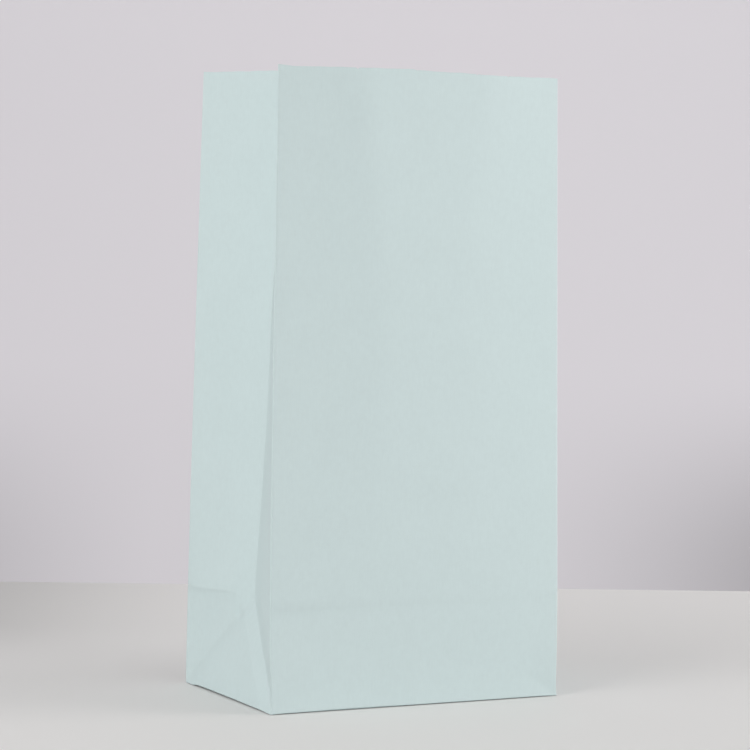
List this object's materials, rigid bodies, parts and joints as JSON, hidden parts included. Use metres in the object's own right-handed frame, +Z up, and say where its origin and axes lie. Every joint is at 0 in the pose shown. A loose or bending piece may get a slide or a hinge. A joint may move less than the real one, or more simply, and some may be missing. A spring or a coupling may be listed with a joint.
{
  "type": "paper bag",
  "caption": "Small block-bottom paper bag with folded-in side gussets, standing open and empty.",
  "frame": {"origin": "middle of the base, on the surface the bag stands on", "axes": "+Z up through the open mouth, -Y out of the wide front panel, +X along that panel to the viewer's right"},
  "size_m": [0.1273, 0.0794, 0.2477],
  "materials": {
    "paper": "matt"
  },
  "bodies": {
    "root": {"bag": "paper"}
  },
  "joints": []
}
